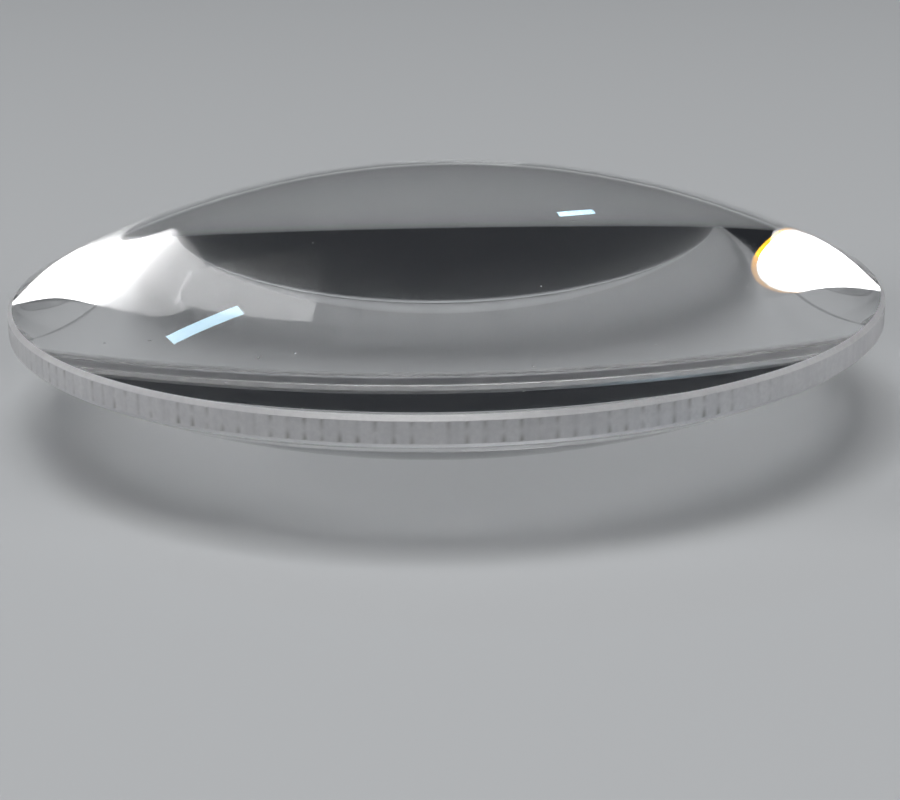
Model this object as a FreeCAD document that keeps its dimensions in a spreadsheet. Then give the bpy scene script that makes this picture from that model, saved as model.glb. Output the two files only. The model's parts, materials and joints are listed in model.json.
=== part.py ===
import FreeCAD, Part
import enum
import math
import os

import Sketcher

# Biconvex lens, ground and polished from one round blank of crown glass.
# It is what three forms have in common: the sphere of the lower face, the sphere of the
# upper face, and a disc that is edged to the lens's diameter and bevelled at both rims.
# The lens lies on its lower face. The origin is that face's vertex, and +Z is the
# optical axis.

# Driving sizes, in millimetres and degrees, each one written once
SIZES = {
    "lens_diameter": 100.0,      # across the ground edge
    "edge_thickness": 3.3,       # from rim to rim, both bevels included
    "lower_face_radius": 106.0,  # radius of curvature of the lower face
    "upper_face_radius": 106.0,  # radius of curvature of the upper face
    "bevel_width": 0.5,          # taken off the radius at each rim
    "bevel_angle": 45.0,         # between a bevel and the plane of its rim
}

# A polished face ends where its bevel begins, at this distance from the optical axis
FACE_REACH = "(sizes.lens_diameter / 2 - sizes.bevel_width)"
BEVEL_HEIGHT = "sizes.bevel_width * tan(sizes.bevel_angle)"

LENS = "lens"
PARTS_FOLDER = "parts"
FULL_TURN = 360.0
QUARTER_TURN = 90.0


class At(enum.IntEnum):
    """The end of a line that a constraint holds."""

    START = 1
    END = 2


class Own(enum.IntEnum):
    """What a sketch has before anything is drawn in it."""

    ORIGIN = -1
    OPTICAL_AXIS = -2


def sag(face):
    """Depth of a spherical face from its vertex to its rim, as an expression."""
    return f"(sizes.{face}_face_radius - sqrt(sizes.{face}_face_radius ^ 2 - {FACE_REACH} ^ 2))"


def write_sheet(doc):
    """Put every driving size in the sheet, under its own name."""
    sheet = doc.addObject("Spreadsheet::Sheet", "sizes")
    for row, (name, value) in enumerate(SIZES.items(), start=1):
        sheet.set(f"A{row}", name)
        sheet.set(f"B{row}", str(value))
        sheet.setAlias(f"B{row}", name)
    doc.recompute()


def origin_plane(body, role):
    """The body's own origin plane with this role."""
    return next(plane for plane in body.Origin.OriginFeatures if plane.Role == role)


def draw_rim_section(sketch):
    """Draw half the disc's section: the edge, and both bevels run on to the axis."""
    rim = sketch.evalExpression("sizes.lens_diameter / 2")
    low = sketch.evalExpression(f"{sag('lower')} + {BEVEL_HEIGHT}")
    high = sketch.evalExpression(f"{sag('lower')} + sizes.edge_thickness - {BEVEL_HEIGHT}")
    fall = sketch.evalExpression("sizes.lens_diameter / 2 * tan(sizes.bevel_angle)")
    corners = [(0, low - fall), (rim, low), (rim, high), (0, high + fall)]
    points = [FreeCAD.Vector(reach, height, 0) for reach, height in corners]
    return [
        sketch.addGeometry(Part.LineSegment(point, following))
        for point, following in zip(points, points[1:] + points[:1])
    ]


def constrain_rim_section(sketch, section):
    """Close the section and tie each of its sizes to the sheet."""
    lower_bevel, edge, upper_bevel, axis = section
    for line, following in zip(section, section[1:] + section[:1]):
        sketch.addConstraint(Sketcher.Constraint("Coincident", line, At.END, following, At.START))
    for end in (At.START, At.END):
        sketch.addConstraint(Sketcher.Constraint("PointOnObject", axis, end, Own.OPTICAL_AXIS))
    sketch.addConstraint(Sketcher.Constraint("Vertical", edge))

    edge_foot = (Own.ORIGIN, At.START, edge, At.START)
    sized = [
        ("rim_radius", "DistanceX", edge_foot, "sizes.lens_diameter / 2"),
        ("edge_start", "DistanceY", edge_foot, f"{sag('lower')} + {BEVEL_HEIGHT}"),
        ("edge_band", "Distance", (edge,), f"sizes.edge_thickness - 2 * {BEVEL_HEIGHT}"),
        ("lower_slope", "Angle", (lower_bevel,), "sizes.bevel_angle"),
        ("upper_slope", "Angle", (upper_bevel,), "180 - sizes.bevel_angle"),
    ]
    for name, kind, places, expression in sized:
        value = sketch.evalExpression(expression)
        if kind == "Angle":
            value = math.radians(value)
        number = sketch.addConstraint(Sketcher.Constraint(kind, *places, value))
        sketch.renameConstraint(number, name)
        sketch.setExpression(f"Constraints.{name}", expression)


def make_edged_disc(doc):
    """Turn the disc that gives the lens its ground edge and its two bevels."""
    body = doc.addObject("PartDesign::Body", "edged_disc")
    sketch = body.newObject("Sketcher::SketchObject", "rim_section")
    sketch.AttachmentSupport = [(origin_plane(body, "XZ_Plane"), "")]
    sketch.MapMode = "FlatFace"
    constrain_rim_section(sketch, draw_rim_section(sketch))
    doc.recompute()
    if not sketch.FullyConstrained:
        raise RuntimeError("the rim's section isn't fully constrained")

    turned = body.newObject("PartDesign::Revolution", "turned_disc")
    turned.Profile = sketch
    turned.ReferenceAxis = (sketch, ["V_Axis"])
    turned.Angle = FULL_TURN
    body.Tip = turned
    return body


def make_face_sphere(doc, face, centre_height, turn):
    """The sphere of one polished face.

    Its poles lie on the lens's X axis and its seam on the side away from the face, so
    both are outside the glass and the face is even at its vertex.
    """
    sphere = doc.addObject("Part::Sphere", f"{face}_sphere")
    sphere.setExpression("Radius", f"sizes.{face}_face_radius")
    sideways = FreeCAD.Rotation(FreeCAD.Vector(0, 1, 0), turn)
    sphere.Placement = FreeCAD.Placement(FreeCAD.Vector(), sideways)
    sphere.setExpression("Placement.Base.z", centre_height)
    return sphere


def make_lens(doc):
    """Grind both faces on the edged disc, which leaves one solid of glass."""
    lower_centre = "sizes.lower_face_radius"
    upper_vertex = f"{sag('lower')} + sizes.edge_thickness + {sag('upper')}"
    upper_centre = f"{upper_vertex} - sizes.upper_face_radius"
    forms = [
        make_edged_disc(doc),
        make_face_sphere(doc, "lower", lower_centre, -QUARTER_TURN),
        make_face_sphere(doc, "upper", upper_centre, QUARTER_TURN),
    ]
    lens = doc.addObject("Part::MultiCommon", LENS)
    lens.Label = LENS
    lens.Shapes = forms
    lens.Placement = FreeCAD.Placement()
    return lens


def check_document(doc, parts):
    """Stop if an object failed to build or a part isn't one sound solid."""
    for item in doc.Objects:
        if "Invalid" in item.State or "Error" in item.State:
            raise RuntimeError(f"{item.Label} failed: {item.State}")
    for part in parts:
        shape = part.Shape
        if shape.isNull() or not shape.isValid() or len(shape.Solids) != 1:
            raise RuntimeError(f"{part.Label} isn't one valid solid")


def export_parts(parts):
    """Write each part to a file of its own."""
    os.makedirs(PARTS_FOLDER, exist_ok=True)
    for part in parts:
        part.Shape.exportStep(f"{PARTS_FOLDER}/{part.Label}.step")
        box = part.Shape.BoundBox
        print(
            f"{part.Label}: {box.XLength:.3f} x {box.YLength:.3f} x {box.ZLength:.3f} mm,"
            f" {part.Shape.Volume:.1f} mm3"
        )


doc = FreeCAD.newDocument("biconvex_lens")
write_sheet(doc)
parts = [make_lens(doc)]
doc.recompute()
check_document(doc, parts)
export_parts(parts)
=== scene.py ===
"""The looks of a biconvex lens: two polished faces, a fine-ground edge and two bevels."""

import json
import logging
import math
from dataclasses import dataclass
from enum import IntEnum
from typing import Any

import bpy
from mathutils import Matrix, Vector


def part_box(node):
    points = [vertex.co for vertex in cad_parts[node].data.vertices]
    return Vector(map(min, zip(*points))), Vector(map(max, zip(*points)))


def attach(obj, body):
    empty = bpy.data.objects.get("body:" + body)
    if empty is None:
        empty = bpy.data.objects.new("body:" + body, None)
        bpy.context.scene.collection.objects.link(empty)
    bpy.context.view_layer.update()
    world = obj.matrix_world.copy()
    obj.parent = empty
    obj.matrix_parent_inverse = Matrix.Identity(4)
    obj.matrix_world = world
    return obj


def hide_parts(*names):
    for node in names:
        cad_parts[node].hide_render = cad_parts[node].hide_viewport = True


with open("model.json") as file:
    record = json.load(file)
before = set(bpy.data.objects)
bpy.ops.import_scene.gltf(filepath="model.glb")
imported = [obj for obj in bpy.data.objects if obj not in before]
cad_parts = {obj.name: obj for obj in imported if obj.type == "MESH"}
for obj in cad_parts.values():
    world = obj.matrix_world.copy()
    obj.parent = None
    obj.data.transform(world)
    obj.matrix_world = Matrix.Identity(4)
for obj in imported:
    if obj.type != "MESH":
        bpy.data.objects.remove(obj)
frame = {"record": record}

MM = 0.001

MATH = "ShaderNodeMath"
NOISE = "ShaderNodeTexNoise"
RAMP = "ShaderNodeMapRange"

# Sockets that share their name with others on the same node, by number
MIX_FIRST = 6
MIX_SECOND = 7
MIX_RESULT = 2
RANDOM_LOW = 2
RANDOM_HIGH = 3

# Margins that tell whole numbers, and the halves between them, apart
NEAR = 0.1
PART_OF_A_STEP = 0.25

# Crown glass starts at 1.50, but the arc below which both faces mirror fully asks for less
GLASS_INDEX = 1.476
# Light is mirrored several times inside the rim, so these are above the usual numbers
GLASS_BOUNCES = 14
ALL_BOUNCES = 16

log = logging.getLogger("lens")


class Zone(IntEnum):
    """The finish of a stretch of the surface, as numbered on the mesh's faces.

    Neighbours differ by one, so an edge between two zones has a half number.
    """

    POLISHED = 0
    BEVEL = 1
    EDGE = 2


def linear(code: str) -> tuple[float, float, float, float]:
    """Turn an sRGB hex colour into linear light.

    Args:
        code: Six hex digits.

    Returns:
        Red, green, blue and an alpha of one.
    """
    # The sRGB curve is straight near black and a power above that
    channels = [int(code[start:start + 2], 16) / 255 for start in (0, 2, 4)]
    return (*(c / 12.92 if c <= 0.04045 else ((c + 0.055) / 1.055) ** 2.4 for c in channels), 1.0)


def add_node(tree: bpy.types.NodeTree, kind: str, *feeds: Any, named: dict[str, Any] | None = None,
             **settings: Any) -> bpy.types.NodeSocket | None:
    """Add a node with its settings and links.

    Args:
        tree: The tree that gets the node.
        kind: The node's class name.
        feeds: A value or a socket for each input, in the inputs' order. None leaves one as it is.
        named: The same for inputs given by name.
        settings: Properties of the node itself.

    Returns:
        The node's first output that is in use, or None where it has no output.
    """
    node = tree.nodes.new(kind)
    for name, value in settings.items():
        setattr(node, name, value)
    for key, value in [*enumerate(feeds), *(named or {}).items()]:
        if isinstance(value, bpy.types.NodeSocket):
            tree.links.new(value, node.inputs[key])
        elif value is not None:
            node.inputs[key].default_value = value
    return next((socket for socket in node.outputs if socket.enabled), None)


@dataclass(frozen=True)
class PolishedCrownGlass:
    """Crown glass, ground and then polished with fine oxide on a pitch lap.

    The eye sees no surface, only what the glass bends and mirrors, with a trace of haze and
    a few grains of dust where the light grazes it.
    """

    name: str = "polished_crown_glass"
    colour: str = "FEFEFE"
    refraction: float = GLASS_INDEX
    # Traces of the cloth that wiped it, in soft patches where the noise lies above the first level
    haze_patch: float = 9.0 * MM
    haze_levels: tuple[float, float] = (0.6, 0.8)
    haze_roughness: float = 0.03
    # Dust is about 0.05 mm across, too fine to show here, so its grains are drawn larger
    dust_spacing: float = 5.0 * MM
    dust_radius: float = 0.18 * MM
    dust_colour: str = "D6D4CE"
    dust_roughness: float = 0.55
    dust_height: float = 0.03 * MM

    def material(self) -> bpy.types.Material:
        """Build the node material.

        Returns:
            The material.
        """
        material = bpy.data.materials.new(self.name)
        material.use_nodes = True
        tree = material.node_tree
        shader = tree.nodes["Principled BSDF"].inputs
        here = add_node(tree, "ShaderNodeTexCoord").node.outputs["Object"]
        haze = add_node(tree, NOISE, here, named={"Scale": 1 / self.haze_patch, "Detail": 4.0})
        haze = add_node(tree, RAMP, haze, *self.haze_levels, 0.0, self.haze_roughness)
        grain = add_node(tree, "ShaderNodeTexVoronoi", here, named={"Scale": 1 / self.dust_spacing})
        dust = add_node(tree, RAMP, grain, 0.0, self.dust_radius / self.dust_spacing, 1.0, 0.0)
        colour = add_node(tree, "ShaderNodeMix", dust, data_type="RGBA", named={
            MIX_FIRST: linear(self.colour), MIX_SECOND: linear(self.dust_colour)})
        colour = colour.node.outputs[MIX_RESULT]
        roughness = add_node(tree, MATH, dust, self.dust_roughness, haze, operation="MULTIPLY_ADD")
        relief = add_node(tree, "ShaderNodeBump", 1.0, self.dust_height, named={"Height": dust})
        tree.links.new(colour, shader["Base Color"])
        tree.links.new(roughness, shader["Roughness"])
        tree.links.new(relief, shader["Normal"])
        shader["IOR"].default_value = self.refraction
        shader["Transmission Weight"].default_value = 1.0
        return material


@dataclass(frozen=True)
class GroundGlass:
    """Crown glass, ground on a diamond wheel and left unpolished.

    Fine pits scatter the light, so it looks satin white where light reaches it, and grey
    where it doesn't. The wheel's chatter leaves small nicks, painted darker as painted shade
    in their grooves, and its grit a faint mottle.
    """

    name: str
    pale: str
    dull: str
    smoothest: float
    roughest: float
    clearness: float
    # The nicks are painted darker with this colour: painted shade in their small grooves
    nick_shade_colour: str = "96948F"
    refraction: float = GLASS_INDEX
    # The wheel's grit is about 0.05 mm, too fine to show here, so the mottle is drawn coarser
    mottle: float = 0.5 * MM
    # Streaks run along the axis, as the wheel's chatter does
    streak: float = 1.2 * MM
    streak_stretch: float = 0.08
    # Mottle times streak runs from dull to pale between these levels
    wear_levels: tuple[float, float] = (0.12, 0.42)
    pit_depth: float = 0.008 * MM

    def material(self) -> bpy.types.Material:
        """Build the node material.

        Returns:
            The material.
        """
        material = bpy.data.materials.new(self.name)
        material.use_nodes = True
        tree = material.node_tree
        shader = tree.nodes["Principled BSDF"].inputs
        here = add_node(tree, "ShaderNodeTexCoord").node.outputs["Object"]
        along = add_node(tree, "ShaderNodeVectorMath", here, (1.0, 1.0, self.streak_stretch),
                         operation="MULTIPLY")
        mottle = add_node(tree, NOISE, here, named={"Scale": 1 / self.mottle, "Detail": 3.0})
        streak = add_node(tree, NOISE, along, named={"Scale": 1 / self.streak, "Detail": 2.0})
        wear = add_node(tree, MATH, mottle, streak, operation="MULTIPLY")
        wear = add_node(tree, RAMP, wear, *self.wear_levels, 0.0, 1.0)
        nick = add_node(tree, "ShaderNodeAttribute", attribute_name="mark").node.outputs["Fac"]
        colour = add_node(tree, "ShaderNodeMix", wear, data_type="RGBA", named={
            MIX_FIRST: linear(self.dull), MIX_SECOND: linear(self.pale)})
        colour = colour.node.outputs[MIX_RESULT]
        # Painted shade: each nick is darkened towards that colour by its mark's strength
        colour = add_node(tree, "ShaderNodeMix", nick, data_type="RGBA", named={
            MIX_FIRST: colour, MIX_SECOND: linear(self.nick_shade_colour)})
        colour = colour.node.outputs[MIX_RESULT]
        roughness = add_node(tree, RAMP, wear, 0.0, 1.0, self.smoothest, self.roughest)
        grit = add_node(tree, "ShaderNodeBump", 1.0, self.pit_depth, named={"Height": mottle})
        tree.links.new(colour, shader["Base Color"])
        tree.links.new(roughness, shader["Roughness"])
        tree.links.new(grit, shader["Normal"])
        shader["IOR"].default_value = self.refraction
        shader["Transmission Weight"].default_value = self.clearness
        return material


@dataclass
class LensBody:
    """The glass itself: a section turned round the optical axis, with grinding marks."""

    rim_radius: float
    mid_height: float
    half_height: float
    edge_band: float
    bevel_width: float = 0.5 * MM
    bevel_height: float = 0.5 * MM
    face_rings: int = 36
    band_rows: int = 17
    marks: int = 180
    mark_width: float = 0.75 * MM
    mark_length: float = 1.4 * MM
    mark_depth: float = 0.04 * MM
    # Each mark's strength and length, as shares, are random in these ranges
    mark_strengths: tuple[float, float] = (0.1, 1.1)
    mark_stretches: tuple[float, float] = (0.75, 1.25)
    # A line joins a pair of marks where its own random strength is above zero
    line_strengths: tuple[float, float] = (-0.3, 0.3)
    # Marks at the upper end of the band are weaker by this share
    upper_loss: float = 0.25
    # The wheel chattered on one side only, most at this angle from the X axis
    chatter_angle: float = math.radians(258)
    # Cosines of the angles from there at which the chatter ends and at which it is full
    chatter_levels: tuple[float, float] = (0.5, 0.75)
    # Points this close are one, as at the vertices and where the turn closes
    weld: float = 0.0005 * MM
    # Seeds of a mark's strength and length and of the line that joins a pair
    strength_seed: int = 4
    length_seed: int = 180
    line_seed: int = 36
    # Three columns across each mark and one between it and the next, the second in the middle
    columns_per_mark: int = 4
    middle_column: int = 1

    @classmethod
    def from_frame(cls, record: dict[str, Any]) -> "LensBody":
        """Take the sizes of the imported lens.

        Args:
            record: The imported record, whose ground edge gives the band between the bevels.

        Returns:
            The lens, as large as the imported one.
        """
        low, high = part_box("lens")
        edge = next(mount for mount in record["mounts"] if mount["name"] == "ground_edge")
        return cls(
            rim_radius=min(high.x, high.y, -low.x, -low.y),
            mid_height=(low.z + high.z) / 2,
            half_height=(high.z - low.z) / 2,
            edge_band=edge["dims"]["length_mm"] * MM,
        )

    @property
    def reach(self) -> float:
        """Radius at which a polished face ends and its bevel begins."""
        return self.rim_radius - self.bevel_width

    @property
    def face_radius(self) -> float:
        """Radius of curvature of a face, from its reach and its depth."""
        sag = self.half_height - self.edge_band / 2 - self.bevel_height
        return (self.reach ** 2 + sag ** 2) / (2 * sag)

    def sizes(self) -> dict[str, float | int]:
        """Name each size as the tree's inputs do.

        Returns:
            The value of every input that is a number.
        """
        return {
            "Rim Radius": self.rim_radius,
            "Mid Height": self.mid_height,
            "Edge Band": self.edge_band,
            "Bevel Width": self.bevel_width,
            "Bevel Height": self.bevel_height,
            "Face Radius": self.face_radius,
            "Face Rings": self.face_rings,
            "Band Rows": self.band_rows,
            "Marks": self.marks,
            "Mark Width": self.mark_width,
            "Mark Length": self.mark_length,
            "Mark Depth": self.mark_depth,
            "Chatter Angle": self.chatter_angle,
            "Strength Seed": self.strength_seed,
            "Length Seed": self.length_seed,
            "Line Seed": self.line_seed,
            "Columns Per Mark": self.columns_per_mark,
            "Middle Column": self.middle_column,
        }

    def tree(self, finishes: dict[Zone, bpy.types.Material]) -> bpy.types.NodeTree:
        """Build the nodes that turn the lens's section round its axis.

        A grid has a row for each ring of the section and four columns for each mark. Rows
        are counted from the middle of the edge, as both halves of the lens are alike.

        Args:
            finishes: The material of each zone.

        Returns:
            The node group.
        """
        tree = bpy.data.node_groups.new("turned_lens", "GeometryNodeTree")
        kinds = {float: "NodeSocketFloat", int: "NodeSocketInt"}
        for name, value in self.sizes().items():
            tree.interface.new_socket(name, in_out="INPUT", socket_type=kinds[type(value)])
        for kind in finishes:
            tree.interface.new_socket(kind.name, in_out="INPUT", socket_type="NodeSocketMaterial")
        tree.interface.new_socket("Lens", in_out="OUTPUT", socket_type="NodeSocketGeometry")
        size = tree.nodes.new("NodeGroupInput").outputs

        # Rows, and how many of them each point is from the middle one
        ring_rows = add_node(tree, MATH, size["Face Rings"], 2.0, size["Band Rows"],
                             operation="MULTIPLY_ADD")
        rows = add_node(tree, MATH, ring_rows, 2.0, operation="ADD")
        last_row = add_node(tree, MATH, rows, 1.0, operation="SUBTRACT")
        middle_row = add_node(tree, MATH, last_row, 2.0, operation="DIVIDE")
        index = add_node(tree, "GeometryNodeInputIndex")
        row = add_node(tree, MATH, index, rows, operation="MODULO")
        from_middle = add_node(tree, MATH, row, middle_row, operation="SUBTRACT")
        side = add_node(tree, MATH, from_middle, operation="SIGN")
        away = add_node(tree, MATH, from_middle, operation="ABSOLUTE")

        # The edge band
        band_steps = add_node(tree, MATH, size["Band Rows"], 1.0, operation="SUBTRACT")
        half_band = add_node(tree, MATH, band_steps, 2.0, operation="DIVIDE")
        band_limit = add_node(tree, MATH, half_band, PART_OF_A_STEP, operation="ADD")
        on_face = add_node(tree, MATH, away, band_limit, operation="GREATER_THAN")
        band_share = add_node(tree, MATH, away, band_steps, operation="DIVIDE")
        band_height = add_node(tree, MATH, band_share, size["Edge Band"], operation="MULTIPLY")

        # The polished faces, by the angle at the centre of curvature
        reach = add_node(tree, MATH, size["Rim Radius"], size["Bevel Width"],
                         operation="SUBTRACT")
        slope = add_node(tree, MATH, reach, size["Face Radius"], operation="DIVIDE")
        widest = add_node(tree, MATH, slope, operation="ARCSINE")
        from_vertex = add_node(tree, MATH, middle_row, away, operation="SUBTRACT")
        share = add_node(tree, MATH, from_vertex, size["Face Rings"], operation="DIVIDE")
        angle = add_node(tree, MATH, share, widest, operation="MULTIPLY")
        sine = add_node(tree, MATH, angle, operation="SINE")
        face_reach = add_node(tree, MATH, sine, size["Face Radius"], operation="MULTIPLY")
        cosine = add_node(tree, MATH, angle, operation="COSINE")
        rim_cosine = add_node(tree, MATH, widest, operation="COSINE")
        rise = add_node(tree, MATH, cosine, rim_cosine, operation="SUBTRACT")
        shoulder = add_node(tree, MATH, size["Edge Band"], 0.5, size["Bevel Height"],
                            operation="MULTIPLY_ADD")
        face_height = add_node(tree, MATH, rise, size["Face Radius"], shoulder,
                               operation="MULTIPLY_ADD")

        # Columns
        column_share = add_node(tree, MATH, index, rows, operation="DIVIDE")
        column = add_node(tree, MATH, column_share, operation="FLOOR")
        mark_share = add_node(tree, MATH, column, size["Columns Per Mark"], operation="DIVIDE")
        mark = add_node(tree, MATH, mark_share, operation="FLOOR")
        place = add_node(tree, MATH, column, size["Columns Per Mark"], operation="MODULO")
        half_mark = add_node(tree, MATH, size["Mark Width"], size["Rim Radius"],
                             operation="DIVIDE")
        half_mark = add_node(tree, MATH, half_mark, 2.0, operation="DIVIDE")
        from_centre = add_node(tree, MATH, place, size["Middle Column"], operation="SUBTRACT")
        across = add_node(tree, MATH, from_centre, half_mark, operation="MULTIPLY")
        pitch = add_node(tree, MATH, math.tau, size["Marks"], operation="DIVIDE")
        half_pitch = add_node(tree, MATH, pitch, 2.0, operation="DIVIDE")
        between = add_node(tree, MATH, from_centre, 1.0 + NEAR, operation="GREATER_THAN")
        offset = add_node(tree, "GeometryNodeSwitch", between, across, half_pitch,
                          input_type="FLOAT")
        turn = add_node(tree, MATH, mark, pitch, offset, operation="MULTIPLY_ADD")

        # Marks: each end of the band has its own, of random strength and length
        upper = add_node(tree, MATH, side, 0.0, operation="GREATER_THAN")
        mark_number = add_node(tree, MATH, mark, 2.0, upper, operation="MULTIPLY_ADD")
        strength = add_node(tree, "FunctionNodeRandomValue", data_type="FLOAT", named={
            RANDOM_LOW: self.mark_strengths[0], RANDOM_HIGH: self.mark_strengths[1],
            "ID": mark_number, "Seed": size["Strength Seed"]})
        weaker = add_node(tree, MATH, upper, -self.upper_loss, 1.0, operation="MULTIPLY_ADD")
        strength = add_node(tree, MATH, strength, weaker, operation="MULTIPLY")
        stretch = add_node(tree, "FunctionNodeRandomValue", data_type="FLOAT", named={
            RANDOM_LOW: self.mark_stretches[0], RANDOM_HIGH: self.mark_stretches[1],
            "ID": mark_number, "Seed": size["Length Seed"]})
        length = add_node(tree, MATH, stretch, size["Mark Length"], operation="MULTIPLY")
        half_edge = add_node(tree, MATH, size["Edge Band"], 2.0, operation="DIVIDE")
        from_end = add_node(tree, MATH, half_edge, band_height, operation="SUBTRACT")
        fade = add_node(tree, RAMP, from_end, length, 0.0, 0.0, 1.0,
                        interpolation_type="SMOOTHSTEP")
        marked = add_node(tree, MATH, fade, strength, operation="MULTIPLY")

        # A fainter line joins some of the pairs
        line = add_node(tree, "FunctionNodeRandomValue", data_type="FLOAT", named={
            RANDOM_LOW: self.line_strengths[0], RANDOM_HIGH: self.line_strengths[1],
            "ID": mark, "Seed": size["Line Seed"]})
        marked = add_node(tree, MATH, marked, line, operation="MAXIMUM")

        # The chatter, and the band between the bevels, limit them
        from_most = add_node(tree, MATH, turn, size["Chatter Angle"], operation="SUBTRACT")
        chatter = add_node(tree, MATH, from_most, operation="COSINE")
        chatter = add_node(tree, RAMP, chatter, *self.chatter_levels, 0.0, 1.0)
        centred = add_node(tree, MATH, place, size["Middle Column"], NEAR, operation="COMPARE")
        on_band = add_node(tree, MATH, half_band, away, operation="GREATER_THAN")
        for limit in (chatter, centred, on_band):
            marked = add_node(tree, MATH, marked, limit, operation="MULTIPLY", use_clamp=True)

        # The turned surface
        radius = add_node(tree, "GeometryNodeSwitch", on_face, size["Rim Radius"], face_reach,
                          input_type="FLOAT")
        height = add_node(tree, "GeometryNodeSwitch", on_face, band_height, face_height,
                          input_type="FLOAT")
        nick = add_node(tree, MATH, marked, size["Mark Depth"], operation="MULTIPLY")
        radius = add_node(tree, MATH, radius, nick, operation="SUBTRACT")
        turn_cosine = add_node(tree, MATH, turn, operation="COSINE")
        turn_sine = add_node(tree, MATH, turn, operation="SINE")
        east = add_node(tree, MATH, radius, turn_cosine, operation="MULTIPLY")
        north = add_node(tree, MATH, radius, turn_sine, operation="MULTIPLY")
        up = add_node(tree, MATH, side, height, size["Mid Height"], operation="MULTIPLY_ADD")
        position = add_node(tree, "ShaderNodeCombineXYZ", east, north, up)
        columns = add_node(tree, MATH, size["Marks"], size["Columns Per Mark"], 1.0,
                           operation="MULTIPLY_ADD")
        lens = add_node(tree, "GeometryNodeMeshGrid", 1.0, 1.0, columns, rows)
        lens = add_node(tree, "GeometryNodeStoreNamedAttribute", lens, None, "mark", marked,
                        data_type="FLOAT", domain="POINT")

        # Zones, numbered from a polished face to the edge. A face lies half a row from its own
        # rows, so the bevel's comes half a step outside the band, in the middle of the ramp
        face_away = add_node(tree, "GeometryNodeFieldOnDomain", away, data_type="FLOAT",
                             domain="POINT")
        inside = add_node(tree, MATH, half_band, face_away, operation="SUBTRACT")
        zone = add_node(tree, RAMP, inside, -0.5 - PART_OF_A_STEP, -0.5 + PART_OF_A_STEP, 0.0, 1.0)
        zone = add_node(tree, MATH, zone, float(Zone.EDGE), operation="MULTIPLY")
        zone = add_node(tree, MATH, zone, operation="ROUND")
        lens = add_node(tree, "GeometryNodeStoreNamedAttribute", lens, None, "zone", zone,
                        data_type="FLOAT", domain="FACE")
        lens = add_node(tree, "GeometryNodeSetPosition", lens, None, position)
        lens = add_node(tree, "GeometryNodeMergeByDistance", lens, None, self.weld)

        # Smooth zones with sharp lines between them
        zone = add_node(tree, "GeometryNodeInputNamedAttribute", "zone", data_type="FLOAT")
        half_number = add_node(tree, MATH, zone, operation="FRACT")
        border = add_node(tree, MATH, half_number, PART_OF_A_STEP, operation="GREATER_THAN")
        lens = add_node(tree, "GeometryNodeSetShadeSmooth", lens, None, True, domain="FACE")
        lens = add_node(tree, "GeometryNodeSetShadeSmooth", lens, border, False, domain="EDGE")

        # A polished face's normals point straight away from its centre of curvature
        here = add_node(tree, "GeometryNodeInputPosition")
        level = add_node(tree, "ShaderNodeSeparateXYZ", here).node.outputs
        above = add_node(tree, MATH, level["Z"], size["Mid Height"], operation="SUBTRACT")
        face_side = add_node(tree, MATH, above, operation="SIGN")
        to_centre = add_node(tree, MATH, size["Face Radius"], rim_cosine, operation="MULTIPLY")
        to_centre = add_node(tree, MATH, to_centre, shoulder, operation="SUBTRACT")
        along = add_node(tree, MATH, face_side, to_centre, above, operation="MULTIPLY_ADD")
        outward = add_node(tree, "ShaderNodeCombineXYZ", level["X"], level["Y"], along)
        outward = add_node(tree, "ShaderNodeVectorMath", outward, operation="NORMALIZE")
        polished = add_node(tree, MATH, zone, Zone.BEVEL / 2, operation="LESS_THAN")
        drawn = add_node(tree, "GeometryNodeInputNormal")
        normal = add_node(tree, "GeometryNodeSwitch", polished, drawn, outward,
                          input_type="VECTOR")
        lens = add_node(tree, "GeometryNodeSetMeshNormal", lens, normal, mode="FREE",
                        domain="CORNER")

        lens = add_node(tree, "GeometryNodeRealizeInstances", lens)
        for kind in finishes:
            in_zone = add_node(tree, MATH, zone, float(kind), NEAR, operation="COMPARE")
            lens = add_node(tree, "GeometryNodeSetMaterial", lens, in_zone, size[kind.name])
        add_node(tree, "NodeGroupOutput", lens)
        return tree

    def build(self, finishes: dict[Zone, bpy.types.Material]) -> bpy.types.Object:
        """Run the tree and keep its result as a plain mesh.

        Args:
            finishes: The material of each zone.

        Returns:
            The lens's glass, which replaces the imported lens.
        """
        glass = bpy.data.objects.new("lens_glass", bpy.data.meshes.new("lens_glass"))
        bpy.context.scene.collection.objects.link(glass)
        modifier = glass.modifiers.new("turned_lens", "NODES")
        modifier.node_group = self.tree(finishes)
        values = {**self.sizes(), **{zone.name: finish for zone, finish in finishes.items()}}
        for item in modifier.node_group.interface.items_tree:
            if item.in_out == "INPUT":
                modifier[item.identifier] = values[item.name]
        graph = bpy.context.evaluated_depsgraph_get()
        mesh = bpy.data.meshes.new_from_object(glass.evaluated_get(graph), depsgraph=graph,
                                               preserve_all_data_layers=True)
        glass.modifiers.clear()
        glass.data = mesh
        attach(glass, "root")
        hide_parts("lens")
        return glass


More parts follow.
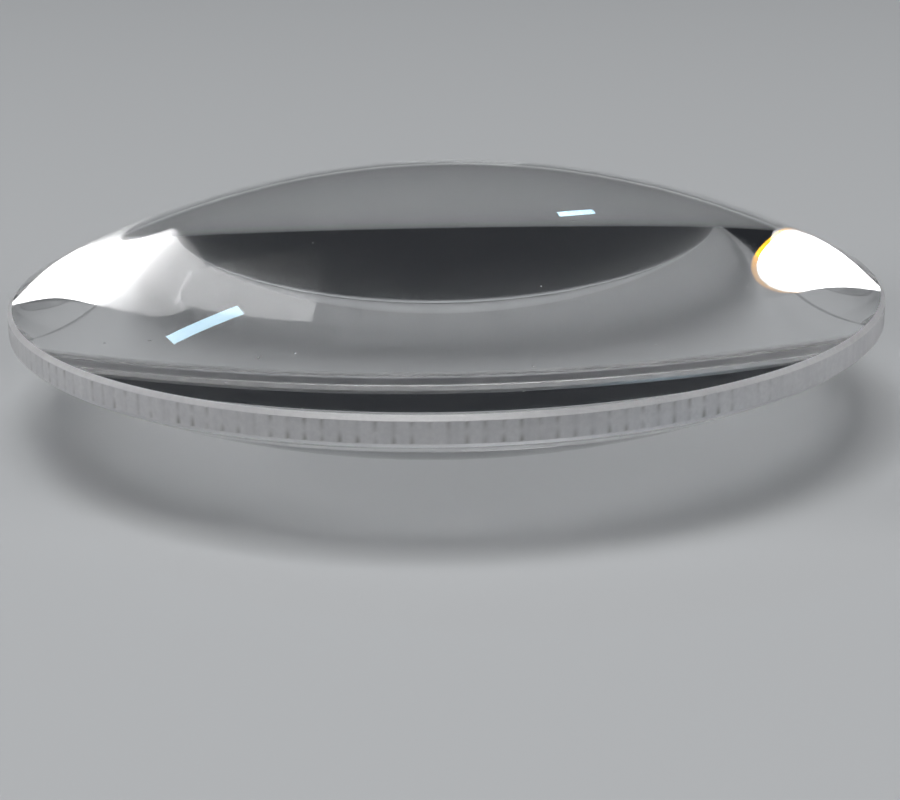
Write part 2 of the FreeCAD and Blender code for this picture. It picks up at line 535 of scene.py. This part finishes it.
@dataclass(frozen=True)
class PhotoCamera:
    """The camera, at the angle and distance that the photograph's outline gives.

    It stands at the elevation above the target, and looks at a place a little below it.
    """

    target: Vector
    distance: float = 260 * MM
    nearest: float = 10 * MM
    elevation: float = math.radians(15.0424)
    sight_fall: float = math.radians(17.7075)
    heading: float = math.radians(0.0528)
    roll: float = math.radians(-0.9991)
    focal_pixels: float = 2239.33
    picture_width: float = 900.0
    sensor_width: float = 36.0

    def build(self) -> bpy.types.Object:
        """Make the camera and set it as the scene's own.

        Returns:
            The camera.
        """
        camera = bpy.data.objects.new("photo_camera", bpy.data.cameras.new("photo_camera"))
        camera.data.sensor_fit = "HORIZONTAL"
        camera.data.sensor_width = self.sensor_width
        camera.data.lens = self.focal_pixels * self.sensor_width / self.picture_width
        camera.data.clip_start = self.nearest
        sight = Vector((
            math.sin(self.heading) * math.cos(self.sight_fall),
            math.cos(self.heading) * math.cos(self.sight_fall),
            -math.sin(self.sight_fall),
        ))
        back = Vector((0.0, -math.cos(self.elevation), math.sin(self.elevation)))
        turn = sight.to_track_quat("-Z", "Y").to_matrix() @ Matrix.Rotation(self.roll, 3, "Z")
        place = Matrix.Translation(self.target + back * self.distance)
        camera.matrix_world = place @ turn.to_4x4()
        bpy.context.scene.collection.objects.link(camera)
        bpy.context.scene.camera = camera
        return camera


@dataclass(frozen=True)
class SoftBox:
    """A soft lamp that faces the lens, placed by the direction in which the lens sees it.

    Azimuth 0 is straight behind the lens as the camera sees it, and 90 is on its right.
    Angles are in degrees and lengths in metres.
    """

    name: str
    azimuth: float
    elevation: float
    distance: float
    width: float
    height: float
    brightness: float
    colour: str = "FFFFFF"
    tilt: float = 0.0

    def build(self, target: Vector) -> bpy.types.Object:
        """Hang the lamp.

        Args:
            target: The point that it faces.

        Returns:
            The lamp.
        """
        lamp = bpy.data.lights.new(self.name, "AREA")
        lamp.shape = "RECTANGLE"
        lamp.size = self.width
        lamp.size_y = self.height
        lamp.energy = self.brightness * math.pi * self.width * self.height
        lamp.color = linear(self.colour)[:3]
        azimuth, elevation = math.radians(self.azimuth), math.radians(self.elevation)
        away = Vector((
            math.sin(azimuth) * math.cos(elevation),
            math.cos(azimuth) * math.cos(elevation),
            math.sin(elevation),
        ))
        box = bpy.data.objects.new(self.name, lamp)
        turn = away.to_track_quat("Z", "Y").to_matrix()
        turn = (turn @ Matrix.Rotation(math.radians(self.tilt), 3, "Z")).to_4x4()
        box.matrix_world = Matrix.Translation(target + away * self.distance) @ turn
        bpy.context.scene.collection.objects.link(box)
        return box


@dataclass(frozen=True)
class Studio:
    """A plain pale floor under soft lamps."""

    floor_colour: str = "BFC1C3"
    floor_roughness: float = 0.9
    floor_side: float = 6.0
    horizon_colour: str = "A9ACAF"
    upper_colour: str = "26282B"
    # The pale horizon fades out at this height, as the sine of its elevation
    horizon_height: float = 0.05
    # Each side lamp shows through the glass at the opposite end, and the strip on the right
    # adds the tail there. The warm strip stands in for the colours that real glass spreads.
    lamps: tuple[SoftBox, ...] = (
        SoftBox("key_softbox", azimuth=200.0, elevation=74.0, distance=1.6,
                width=0.9, height=0.9, brightness=6.3),
        SoftBox("right_softbox", azimuth=116.8, elevation=19.0, distance=2.2,
                width=0.76, height=0.64, brightness=6.0),
        SoftBox("right_strip", azimuth=135.9, elevation=34.2, distance=2.2,
                width=0.97, height=0.22, brightness=6.0, tilt=-24.6),
        SoftBox("left_softbox", azimuth=-106.7, elevation=17.9, distance=2.2,
                width=0.78, height=0.87, brightness=9.0),
        SoftBox("left_warm_strip", azimuth=-117.6, elevation=17.6, distance=2.236,
                width=0.022, height=0.87, brightness=3.5, colour="FFB42A", tilt=-3.3),
        SoftBox("back_softbox", azimuth=-29.7, elevation=43.1, distance=1.5,
                width=0.175, height=0.066, brightness=10.0, colour="C4EAFF", tilt=-17.0),
    )

    def build_floor(self) -> bpy.types.Object:
        """Lay the floor.

        Returns:
            The floor.
        """
        half = self.floor_side / 2
        mesh = bpy.data.meshes.new("floor")
        corners = [(-half, -half, 0), (half, -half, 0), (half, half, 0), (-half, half, 0)]
        mesh.from_pydata(corners, [], [(0, 1, 2, 3)])
        floor = bpy.data.objects.new("floor", mesh)
        bpy.context.scene.collection.objects.link(floor)
        material = bpy.data.materials.new("matt_pale_board")
        material.use_nodes = True
        shader = material.node_tree.nodes["Principled BSDF"]
        shader.inputs["Base Color"].default_value = linear(self.floor_colour)
        shader.inputs["Roughness"].default_value = self.floor_roughness
        shader.inputs["Specular IOR Level"].default_value = 0.0
        mesh.materials.append(material)
        return floor

    def build_world(self) -> bpy.types.World:
        """Fill the room with a little light, pale at the horizon and dimmer above.

        Returns:
            The world.
        """
        world = bpy.data.worlds.new("soft_room")
        world.use_nodes = True
        tree = world.node_tree
        around = add_node(tree, "ShaderNodeTexCoord").node.outputs["Generated"]
        level = add_node(tree, "ShaderNodeSeparateXYZ", around).node.outputs["Z"]
        share = add_node(tree, RAMP, level, 0.0, self.horizon_height, 0.0, 1.0,
                         interpolation_type="SMOOTHSTEP")
        colour = add_node(tree, "ShaderNodeMix", share, data_type="RGBA", named={
            MIX_FIRST: linear(self.horizon_colour), MIX_SECOND: linear(self.upper_colour)})
        tree.links.new(colour.node.outputs[MIX_RESULT], tree.nodes["Background"].inputs["Color"])
        bpy.context.scene.world = world
        return world


def main(packed: dict[str, Any]) -> None:
    """Build the lens, the studio and the camera.

    Args:
        packed: What the frame holds.
    """
    logging.basicConfig(level=logging.INFO, format="%(name)s: %(message)s")
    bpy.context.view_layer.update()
    bevel = GroundGlass("fine_ground_bevel", pale="FAFAFB", dull="ECECEE",
                        smoothest=0.30, roughest=0.42, clearness=0.62)
    edge = GroundGlass("ground_edge", pale="F9F9FB", dull="E4E4E7",
                       smoothest=0.50, roughest=0.66, clearness=0.72)
    finishes = {
        Zone.POLISHED: PolishedCrownGlass().material(),
        Zone.BEVEL: bevel.material(),
        Zone.EDGE: edge.material(),
    }
    body = LensBody.from_frame(packed["record"])
    glass = body.build(finishes)
    log.info("%s: %d faces, face radius %.2f mm", glass.name, len(glass.data.polygons),
             body.face_radius / MM)

    middle = Vector((0.0, 0.0, body.mid_height))
    studio = Studio()
    studio.build_floor()
    studio.build_world()
    for lamp in studio.lamps:
        lamp.build(middle)
    PhotoCamera(target=middle).build()
    scene = bpy.context.scene
    scene.view_settings.view_transform = "Standard"
    scene.cycles.max_bounces = ALL_BOUNCES
    scene.cycles.glossy_bounces = GLASS_BOUNCES
    scene.cycles.transmission_bounces = GLASS_BOUNCES


if __name__ == "__main__":
    main(frame)
